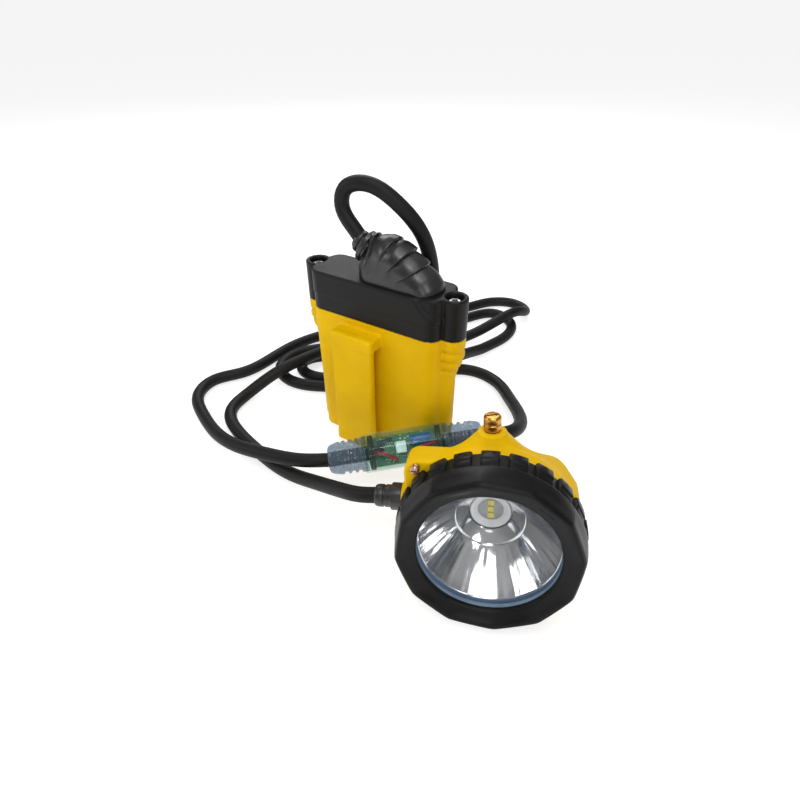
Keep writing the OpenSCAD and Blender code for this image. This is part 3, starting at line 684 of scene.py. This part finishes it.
def boot_field(p):
    x, y, z = p[:, 0], p[:, 1], p[:, 2]
    # the outline runs on below the lid so that the foot keeps its width, and is cut off flat there
    depth = -poly2(x, z, [(-13.8, 104), (41.6, 104)] + BOOT_SIDE[2:])
    cut = np.zeros(len(p))
    for rim, pivot, amp in SKIRTS:
        e = np.array(rim) - np.array(pivot)
        e = e / np.hypot(*e)
        # measured down the boot, towards the lid
        d = (x - pivot[0]) * e[1] - (z - pivot[1]) * e[0]
        along = (x - pivot[0]) * e[0] + (z - pivot[1]) * e[1]
        step = np.where(d < 0, np.clip(1 + d / 0.9, 0, 1) ** 1.5, np.exp(-np.maximum(d, 0) / 5.6))
        cut = cut + amp * step * smooth((along + 0.5) / 13)
    r = 11.0
    dc = np.hypot(x + 12, z - 142)
    w = 7.7 + 4.9 * smooth((dc - 4) / 17) - 0.7 * cut
    q = np.maximum(r - depth + cut, 0) / r
    d = (np.sqrt(q * q + (y / w) ** 2) - 1) * 9
    # rings and nose round the lead
    u = (x + 11.8) * -0.8867 + (z - 137.0) * 0.4626
    s = (x + 11.8) * 0.4626 + (z - 137.0) * 0.8867
    ring = (np.hypot(s / 10.2, y / 8.5) - 1) * 8.5
    ring = slab(ring, u, -2.6, 0.2, 0.45)
    rho = np.hypot(s, y * 1.04)
    nose = slab(rho - np.interp(u, [-4, 1.0, 1.5, 2.1, 2.5, 4.4, 4.8, 7.0], [8.2, 7.4, 6.0, 6.0, 6.9, 6.7, 5.7, 5.2]), u, -4, 6.2, 0.4)
    return np.maximum(smin(smin(d, ring, 0.4), nose, 0.5), 119.6 - z)


v, f = net(boot_field, (-23, -14, 118.8), (44, 14, 149), 0.42)
build("cable_boot_moulding", v, f, stands_for=["cable_boot"], mat=BOOT, sharp=46)


# ---------------------------------------------------------------- head housing
BOWL = [(0, -62), (22.6, -62), (29, -59), (35.2, -50), (40.2, -40), (43, -32), (42.8, -24.4), (0, -24.4)]
HOLLOW = [(0, -58.5), (22, -58.5), (26.6, -56), (32, -48), (37.2, -38.5), (37.6, -29), (37.6, -10), (0, -10)]


def housing_field(p):
    x, y, z = p[:, 0], p[:, 1], p[:, 2]
    rr = np.hypot(x, y)
    bowl = poly2(rr, z, [(-60, -62)] + BOWL[1:7] + [(-60, -24.4)]) - 0.0
    t = np.clip((-38.5 - z) / 19.5, 0, 1.2)
    body = box2(x, y - 2 + t * 5, 41.5 - 11.5 * t, 35 - 11 * t, 7)
    body = smax(body, 0.635 * x + 0.773 * y - 42.0, 2.0)
    body = slab(body, z, -58, -24.4, 1.0)
    d = smin(bowl, body, 1.6)
    wide = np.interp(y, [30, 36, 38, 41, 44, 46, 48], [22, 19, 16, 12.5, 9.6, 7.6, 6.7])
    deep = np.interp(y, [30, 36, 38, 41, 44, 46, 48], [11, 10, 9.6, 9, 8.2, 7.4, 6.7])
    cone = (np.hypot(x / wide, (z + 38) / deep) - 1) * deep * 0.8
    cone = smax(cone, np.abs(y - 38) - 9.8, 0.5)
    d = smin(d, cone, 1.8)
    top = slab(np.hypot(x, z + 38) - 6.3, y, 40, 48.0, 0.8)
    d = smin(d, top, 1.2)
    pad = slab(np.hypot(y, z + 45) - 9, x, -47, -30, 1.0)
    d = smin(d, pad, 2.0)
    ring = slab(rr - 40, z, -30, -11, 0.4)
    d = np.minimum(d, ring)
    hollow = poly2(rr, z, [(-60, -58.5)] + HOLLOW[1:7] + [(-60, -10)])
    hollow = np.maximum(hollow, -slab(np.hypot(x, z + 42) - 12.2, y, -42.6, -30.6, 0.4))
    pocket = slab(np.hypot(x, z + 42) - 9.8, y, -49, -33, 0.4)
    post = np.maximum(np.hypot(x, z + 38) - 3.06, 20 - y)
    post = np.minimum(post, slab(np.hypot(x, z + 38) - 5.3, y, 31, 36.55, 0.2))
    gland = np.maximum(np.hypot(y, z + 45) - 4.25, x + 24)
    knob = np.maximum(np.hypot(x, z + 42) - 3.06, y + 20)
    screw = np.maximum(np.hypot(x + 35.4, y - 33.6) - 1.65, -33 - z)
    for c in (hollow, post, gland, knob, screw, pocket):
        d = np.maximum(d, -c)
    return d


v, f = net(housing_field, (-50, -38, -64), (50, 51, -8), 0.72)
build("head_housing_shell", v, f, in_head, stands_for=["head_housing"], mat=YELLOW, sharp=50)

# ---------------------------------------------------------------- bezel ring
RIBS = 22


def rib_at(th):
    """1 on a rib, 0 between ribs, with short flanks."""
    ph = (th / (2 * math.pi) * RIBS) % 1.0
    return smooth((0.36 - np.abs(ph - 0.5)) / 0.07 + 0.5)


def twelve(th):
    """Outline of the nose: soft corners with barely hollow sides between them."""
    ph = ((th - rad(4.5)) % (2 * math.pi / 12)) / (2 * math.pi / 12)
    c = np.abs(ph - 0.5) * 2
    return -0.026 * (1 - c ** 1.9) - 0.003 * np.exp(-((1 - c) / 0.10) ** 2)


def bezel_shape(th, r, h):
    if h > -12.6 and r[0] > 36:
        k = smooth((h + 12.6) / 8.0) if r[0] > 39.6 else 0.55 * smooth((r[0] - 36) / 4)
        r = r * (1 + k * twelve(th))
    return r


def bezel():
    outer = fillet([(43.6, -24.0, 0.2), (43.8, -23.8, 0.2), (43.8, -13.2, 0.3),
                    (45.3, -12.4, 0.9), (44.8, -6.0, 2), (43.9, -1.5, 1.1), (42.7, -0.1, 0.7), (41.2, -0.35, 0.7), (37.4, -2.3, 2), (34.4, -3.5, 0.6),
                    (33.75, -4.4, 0.4), (33.75, -6.0, 0.2), (39.1, -6.0), (39.1, -11.95), (40.4, -12.0), (40.4, -24.0)], 4, True)
    th = np.arange(720) * 2 * math.pi / 720
    return lathe(outer, 720, shape=bezel_shape, closed=True)


v, f = bezel()
ribs = []
for i in range(RIBS):
    a = (i + 0.5) * 2 * math.pi / RIBS
    w = 4.35
    # a block with a flat rear step and a lower sloping front step
    prof = [(-23.6, 43.3), (-23.6, 45.6), (-23.2, 46.0), (-18.2, 46.0), (-17.7, 45.85), (-17.3, 45.3), (-13.3, 44.75), (-12.9, 44.3), (-12.9, 43.3)]
    rings = []
    for y, cut in ((-w, 0.45), (-w + 0.35, 0.1), (-w + 0.7, 0), (0, 0), (w - 0.7, 0), (w - 0.35, 0.1), (w, 0.45)):
        pts = []
        for z, r in prof:
            rr = r - (cut if r > 43.5 else 0)
            x = math.sqrt(max(rr * rr - y * y, 1))
            pts.append([x * math.cos(a) - y * math.sin(a), x * math.sin(a) + y * math.cos(a), z])
        rings.append(np.array(pts))
    ribs.append(loft(rings))
v, f = join([(v, f)] + ribs)
build("bezel_ring_grip", v, f, in_head, body="bezel", stands_for=["bezel_ring"], mat=BEZEL, sharp=44)

# ---------------------------------------------------------------- lens, seal, reflector, lamp
v, f = lathe(fillet([(0, -8.5), (36.2, -8.5, 0.25), (36.4, -8.9), (36.4, -10.6, 0.2), (36.2, -10.9), (0, -10.9)], 2), 160)
build("lens_disc", v, f, in_head, body="lens_pack", stands_for=["lens"], mat=LENS, sharp=40)
v, f = lathe(fillet([(34.15, -4.75, 0.4), (38.8, -4.75, 0.3), (38.8, -11.05, 0.1), (33.9, -11.05, 0.03), (33.9, -10.93, 0.03), (36.47, -10.93), (36.47, -8.45), (34.15, -8.45, 0.1)], 3, True), 160, closed=True)
build("lens_seal_ring", v, f, in_head, body="lens_pack", stands_for=["lens_seal"], mat=SEALG, sharp=40)


def bowl_r(d):
    return math.sqrt(39.7 * (40.1 - d))


inner = []
marks = sorted(list(np.linspace(11.3, 36.9, 60)) + [40.1 - q * q / 39.7 for q in np.linspace(16.9, 18.3, 15)])
for d in marks:
    r = bowl_r(d)
    # a raised bead runs round the bowl
    inner.append((r - 0.42 * math.exp(-((r - 17.6) / 0.22) ** 2), -d))
inner.append((bowl_r(37.05), -37.1))
outer = [(bowl_r(d) + 1.1, -d - 0.3) for d in np.linspace(37.1, 13.1, 20)]
prof = inner + outer + [(37.2, -12.6), (37.2, -11.2), (34.6, -11.05)]


def rippled(th, r, h):
    """Faint radial waves left by the moulding."""
    k = smooth((r[0] - 17.9) / 3.0) * smooth((35.2 - r[0]) / 0.8)
    return r + k * (0.10 * np.sin(9 * th + 0.7) + 0.075 * np.sin(17 * th + 2.1) + 0.045 * np.sin(31 * th + 1.3) + 0.020 * np.sin(53 * th))


v, f = lathe(prof, 384, closed=True, shape=rippled)
build("reflector_bowl", v, f, in_head, stands_for=["reflector"], mat=CHROME, sharp=70)
v, f = lathe(fillet([(6.7, -39.9), (10.6, -39.9, 0.2), (10.6, -37.5, 0.5), (9.3, -37.4, 0.4), (7.0, -38.9, 0.4), (6.6, -39.4)], 3, True), 96, closed=True)
build("led_seat_ring", v, f, in_head, stands_for=["led_seat"], mat=WHITE, sharp=40)
dies = []
for y in (-3.9, 0, 3.9):
    dies.append(block(-1.7, 1.7, y - 1.6, y + 1.6, -39.98, -39.30, 0.35))
v, f = join(dies)
build("led_die_column", v, f, in_head, stands_for=["led_dies"], mat=DIE, sharp=35)

# ---------------------------------------------------------------- charging post, small screw, switch knob, gland
prof = [(0, 30.2), (2.8, 30.2, 0.2), (3.0, 30.6), (3.0, 48.7), (4.2, 48.7, 0.25), (4.2, 51.9, 0.15), (3.8, 52.15, 0.1),
        (3.8, 52.6, 0.1), (4.2, 52.85, 0.15), (4.2, 55.6, 0.6), (3.4, 56.3, 0.2), (0, 56.3)]
v, f = lathe(fillet(prof, 3), 64, axis="y", centre=(0, 0, -38))
o = build("charging_post_brass", v, f, in_head, body="post", stands_for=["charging_post"], mat=BRASS, sharp=32)
c = block(-6, 6, -0.72, 0.72, 0, 1.7, 0.05)
cc, cs = math.cos(rad(20)), math.sin(rad(20))
cv = np.column_stack([c[0][:, 0] * cc + c[0][:, 1] * cs, c[0][:, 2] + 55.0, -c[0][:, 0] * cs + c[0][:, 1] * cc - 38])
boolean(o, [(cv, c[1], in_head)])

prof = [(0, -30.9), (1.5, -30.9, 0.2), (1.6, -30.4), (1.6, -24.35), (2.2, -24.35, 0.1), (2.2, -23.3, 0.15), (1.95, -23.15), (1.95, -22.9),
        (2.2, -22.7, 0.15), (2.2, -21.2, 0.4), (1.75, -20.78, 0.1), (0, -20.75)]
v, f = lathe(fillet(prof, 3), 40, centre=(-35.4, 33.6, 0))
o = build("lock_screw_small", v, f, in_head, stands_for=["lock_screw"], mat=COPPER, sharp=32)
c = block(-38.4, -32.4, 33.25, 33.95, -21.5, -20, 0.03)
boolean(o, [(c[0], c[1], in_head)])


def fluted(th, r, h):
    if r[0] > 7.2 and h > 34.9:
        ph = (th * 12 / (2 * math.pi)) % 1.0
        return r - 0.95 * np.exp(-((ph - 0.5) / 0.17) ** 2)
    return r


prof = [(0, 22.7), (2.8, 22.7, 0.2), (3.0, 23.0), (3.0, 34.3), (8.9, 34.3, 0.2), (9.0, 34.8), (9.0, 35.2), (9.0, 37.0), (8.8, 39.6),
        (8.5, 40.6, 0.4), (7.9, 41.05, 0.4), (6.6, 41.05, 0.2), (6.0, 40.65, 0.3), (1.2, 40.5, 0.3), (0, 40.5)]
v, f = lathe(fillet(prof, 3), 144, axis="-y", shape=fluted, centre=(0, 0, -42))
bar = block(-1.2, 1.2, -5.6, 5.6, 40.3, 41.08, 0.4)
bv = np.column_stack([bar[0][:, 0], -bar[0][:, 2], bar[0][:, 1] - 42])
v, f = join([(v, f), (bv, bar[1])])
build("switch_knob_grip", v, f, in_head, body="knob", stands_for=["switch_knob"], mat=BLACK, sharp=36)


def nicks(th, r, h):
    if r[0] > 7.2 and -52.4 < h < -47.8:
        ph = (th * 6 / (2 * math.pi)) % 1.0
        return r * (1 - 0.05 * smooth(np.abs(ph - 0.5) * 2) ** 2)
    return r


prof = [(4.55, -62.0, 0.2), (5.3, -62.2, 0.3), (5.9, -61.4, 0.5), (6.2, -60.0, 0.4), (6.2, -57.6, 0.2), (5.7, -57.3, 0.2), (5.7, -56.6, 0.2), (6.2, -56.3, 0.2),
        (6.2, -53.2, 0.3), (7.5, -52.9, 0.3), (7.5, -50.1), (7.5, -47.2, 0.2), (4.1, -47.1), (4.1, -31.6), (3.4, -31.6), (3.4, -50), (4.55, -52)]
v, f = lathe(fillet(prof, 3, True), 120, axis="x", shape=nicks, closed=True, centre=(0, 0, -45))
build("head_gland_black", v, f, in_head, stands_for=["head_gland"], mat=BOOT, sharp=40)

# ---------------------------------------------------------------- in-line module
L = 97.0


def spiral(th, r, h):
    """Helical ribs round the middle of a cup."""
    if 7.2 < h < 21.4 and r[0] > 7.5:
        env = smooth((h - 7.2) / 1.6) * smooth((21.4 - h) / 1.6)
        ph = (h / 4.3 + th / (2 * math.pi)) % 1.0
        return r - 1.35 * env * smooth((np.abs(ph - 0.5) - 0.16) / 0.16)
    return r


prof_out = [(4.7, 0.6), (5.4, 0.3), (7.4, 0.3), (8.3, 0.7), (8.9, 1.5), (9.4, 2.8), (9.75, 4.2), (10.1, 5.6), (10.4, 7.0)]
prof_out += [(10.4 + 0.55 * k / 28, 7.2 + 14.4 * k / 28) for k in range(29)]
prof_out += [(11.05, 22.2), (11.1, 24.1), (4.7, 24.2)]
for i, flip in enumerate((False, True)):
    v, f = lathe(prof_out, 96, axis="x", shape=spiral, closed=True)
    if flip:
        v = v * np.array([-1, -1, 1]) + np.array([L, 0, 0])
    build(f"module_cup_{i + 1}", v, f, in_module, stands_for=["module_boots"] if i == 0 else (), mat=CUP, sharp=50)
v, f = lathe(fillet([(12.2, 22.2, 0.5), (12.2, 74.8, 0.5), (11.2, 74.8, 0.2), (11.2, 22.2, 0.2)], 3, True), 128, axis="x", closed=True)
build("module_sleeve_clear", v, f, in_module, stands_for=["module_sleeve"], mat=SLEEVE, sharp=40)
for i, x in enumerate((25.7, L - 28.7)):
    v, f = lathe(fillet([(0, x), (10.5, x, 0.4), (10.9, x + 0.6), (10.9, x + 2.4, 0.3), (10.4, x + 3.0, 0.2), (0, x + 3.0)], 3), 72, axis="x")
    build(f"module_disc_{i + 1}", v, f, in_module, stands_for=["module_grommets"] if i == 0 else (), mat=GASKET, sharp=40)
for i, (a, b) in enumerate(((-2.0, 25.5), (L - 25.5, L + 2.0))):
    v, f = lathe([(0, a), (4.46, a), (4.46, (a + b) / 2), (4.46, b), (0, b)], 40, axis="x")
    build(f"module_cable_end_{i + 1}", v, f, in_module, stands_for=["module_cable_ends"] if i == 0 else (), mat=CABLE, sharp=40)

# circuit board with its small parts
v, f = block(29, L - 29, -9.6, 9.6, -1.6, 0, 0.15)
build("module_circuit_board", v, f, in_board, stands_for=["module_board"], mat=PCB, sharp=35)
cap = lathe(fillet([(0, 52), (2.6, 52, 0.3), (2.6, 52.6, 0.2), (2.9, 53.0), (3.1, 53.4, 0.2), (3.1, 64.4, 0.5), (2.7, 65, 0.2), (0, 65)], 3), 48, axis="x", centre=(0, 3.2, 3.2))
build("module_capacitor_blue", cap[0], cap[1], in_board, stands_for=["module_capacitor"], mat=BLUE, sharp=40)
relay = [block(42.5, 49.5, -4.5, 3.5, 0.02, 4.0, 0.5)] + [block(43 + i * 1.5, 43.5 + i * 1.5, -5.6, -4.4, 0.02, 0.8, 0.1) for i in range(5)]
v, f = join(relay)
build("module_relay_block", v, f, in_board, stands_for=["module_relay"], mat=ALU, sharp=35)
chips = [block(31, 36, 3, 7, 0.25, 1.6, 0.2), block(37, 41, 5, 8, 0.25, 1.5, 0.2), block(53, 59, -7, -2.5, 0.25, 1.6, 0.2), block(61, 65, -6.5, -2.5, 0.25, 1.5, 0.2)]
v, f = join(chips)
build("module_chip_bodies", v, f, in_board, stands_for=["module_chips"], mat=CHIP, sharp=35)
legs = []
for x0, x1, y0, y1 in ((31, 36, 3, 7), (37, 41, 5, 8), (53, 59, -7, -2.5), (61, 65, -6.5, -2.5)):
    k = int((x1 - x0) / 1.27)
    for i in range(k):
        x = x0 + 0.6 + i * (x1 - x0 - 1.2) / max(k - 1, 1)
        legs += [block(x - 0.2, x + 0.2, y0 - 0.9, y0 + 0.1, 0.02, 0.35, 0.05), block(x - 0.2, x + 0.2, y1 - 0.1, y1 + 0.9, 0.02, 0.35, 0.05)]
for x, y in ((46, 6.6), (49, 6.2), (51, 7.0), (38, -6.5), (40.5, -7.3), (34, -1.4), (36, -6.0), (66, 1.2), (66.4, -0.6), (51, -7.6), (60, -8.2)):
    legs.append(block(x - 0.8, x + 0.8, y - 0.4, y + 0.4, 0.02, 0.55, 0.1))
v, f = join(legs)
build("module_solder_and_resistors", v, f, in_board, mat=WHITE, sharp=35)


def wire(pts, r, place, name, mat, node=None, sides=14):
    p = place(pts)
    q = spline_plain(p)
    v, f = tube(q, r, sides)
    return build(name, v, f, stands_for=[node] if node else (), mat=mat, sharp=60)


def spline_plain(p, step=0.8):
    p = np.asarray(p, float)
    out = []
    for i in range(len(p) - 1):
        a, b, c, d = p[max(i - 1, 0)], p[i], p[i + 1], p[min(i + 2, len(p) - 1)]
        k = max(2, int(np.linalg.norm(c - b) / step))
        for t in np.arange(k) / k:
            out.append(0.5 * (2 * b + (c - a) * t + (2 * a - 5 * b + 4 * c - d) * t * t + (3 * b - a - 3 * c + d) * t ** 3))
    out.append(p[-1])
    return np.array(out)


wire([(28.9, -1.5, 2.6), (32, -2.4, 4.6), (36, -4.0, 5.2), (40, -6.2, 3.8), (42.6, -7.6, 1.4)], 1.15, in_board, "module_wire_red_1", RED, "module_leads")
wire([(68.0, 0.2, 2.2), (65.5, -0.4, 2.0), (62, -0.9, 1.6), (58, -0.8, 1.0)], 1.05, in_board, "module_wire_red_2", RED, None)
wire([(28.9, 2.6, 3.0), (30.2, 1.2, 4.0), (32.6, 0.4, 3.2), (34.4, 0.2, 1.0)], 1.0, in_board, "module_wire_black_1", GASKET, None)

# ---------------------------------------------------------------- inner pieces and hidden pieces keep their CAD shape
CARRIED = {
    "lid_gasket": GASKET, "screw_inserts": BRASS, "battery_cells": WRAP, "cell_tray_lower": WHITE, "cell_tray_upper": WHITE,
    "cell_strips": NICKEL, "base_pad": FOAM, "protection_board": PCB, "board_parts": CHIP, "battery_leads": RED,
    "lid_gland": BRASS, "lid_gland_nut": BRASS, "led_board": PAD, "heat_sink": ALU, "driver_board": PCB, "driver_parts": CHIP,
    "post_seal": GASKET, "post_retainer": STEEL, "post_contact": BRASS, "switch_seal": GASKET, "switch_body": BLACK,
    "head_gland_nut": BLACK, "head_leads": RED, "helmet_hook": HOOK, "hook_screws": STEEL,
}
for name, mat in CARRIED.items():
    me = NODES[name].data
    me.materials.clear()
    me.materials.append(mat)

# ---------------------------------------------------------------- floor, light
fl = bpy.data.meshes.new("floor")
fl.from_pydata([(-40, -40, -0.0004), (40, -40, -0.0004), (40, 40, -0.0004), (-40, 40, -0.0004)], [], [(0, 1, 2, 3)])
floor = bpy.data.objects.new("floor", fl)
bpy.context.scene.collection.objects.link(floor)
m, nt, out = material("pale_floor")
b = nt.nodes.new("ShaderNodeBsdfPrincipled")
b.inputs["Base Color"].default_value = (0.5, 0.5, 0.5, 1)
b.inputs["Roughness"].default_value = 0.75
b.inputs["Specular IOR Level"].default_value = 0.2
b.inputs["Emission Color"].default_value = (1, 1, 1, 1)
b.inputs["Emission Strength"].default_value = 0.72
nt.links.new(b.outputs[0], out.inputs["Surface"])
fl.materials.append(m)

world = bpy.data.worlds.new("studio")
bpy.context.scene.world = world
world.use_nodes = True
wn = world.node_tree
wn.nodes.clear()
wo = wn.nodes.new("ShaderNodeOutputWorld")
bg = wn.nodes.new("ShaderNodeBackground")
tc = wn.nodes.new("ShaderNodeTexCoord")
sep = wn.nodes.new("ShaderNodeSeparateXYZ")
wn.links.new(tc.outputs["Generated"], sep.inputs[0])
cr = wn.nodes.new("ShaderNodeValToRGB")
SKY = [(0.0, 0.20), (0.25, 0.22), (0.6, 0.38), (1.0, 0.45)]
for p, c in SKY[2:]:
    cr.color_ramp.elements.new(p)
for e, (p, c) in zip(cr.color_ramp.elements, SKY):
    e.position = p
    e.color = (c, c, c, 1)
wn.links.new(sep.outputs["Z"], cr.inputs["Fac"])
wn.links.new(cr.outputs["Color"], bg.inputs["Color"])
bg.inputs["Strength"].default_value = 1.0
wn.links.new(bg.outputs[0], wo.inputs["Surface"])


def softbox(name, at, to, size, watts, size_y=None):
    d = bpy.data.lights.new(name, "AREA")
    d.shape = "RECTANGLE"
    d.size = size
    d.size_y = size_y or size
    d.energy = watts
    o = bpy.data.objects.new(name, d)
    bpy.context.scene.collection.objects.link(o)
    o.location = at
    o.rotation_euler = (Vector(to) - Vector(at)).to_track_quat("-Z", "Y").to_euler()
    return o


softbox("top", (0.15, -0.15, 0.95), (0.02, 0.0, 0.05), 0.6, 2.1)
softbox("back", (-0.58, 0.72, 0.80), (0.0, 0.0, 0.10), 0.8, 5.0, 0.5)
softbox("right", (0.80, -0.55, 0.72), (0.05, -0.03, 0.06), 0.24, 1.8)
softbox("key", (0.18, -0.50, 1.0), (0.06, -0.05, 0.08), 0.26, 1.7)
softbox("low", (0.44, -0.885, 0.42), (0.04, -0.02, 0.10), 0.24, 0.95)
softbox("left", (-0.80, -0.62, 0.55), (0.0, 0.0, 0.05), 0.5, 2.4)
bpy.context.scene.view_settings.view_transform = "Standard"
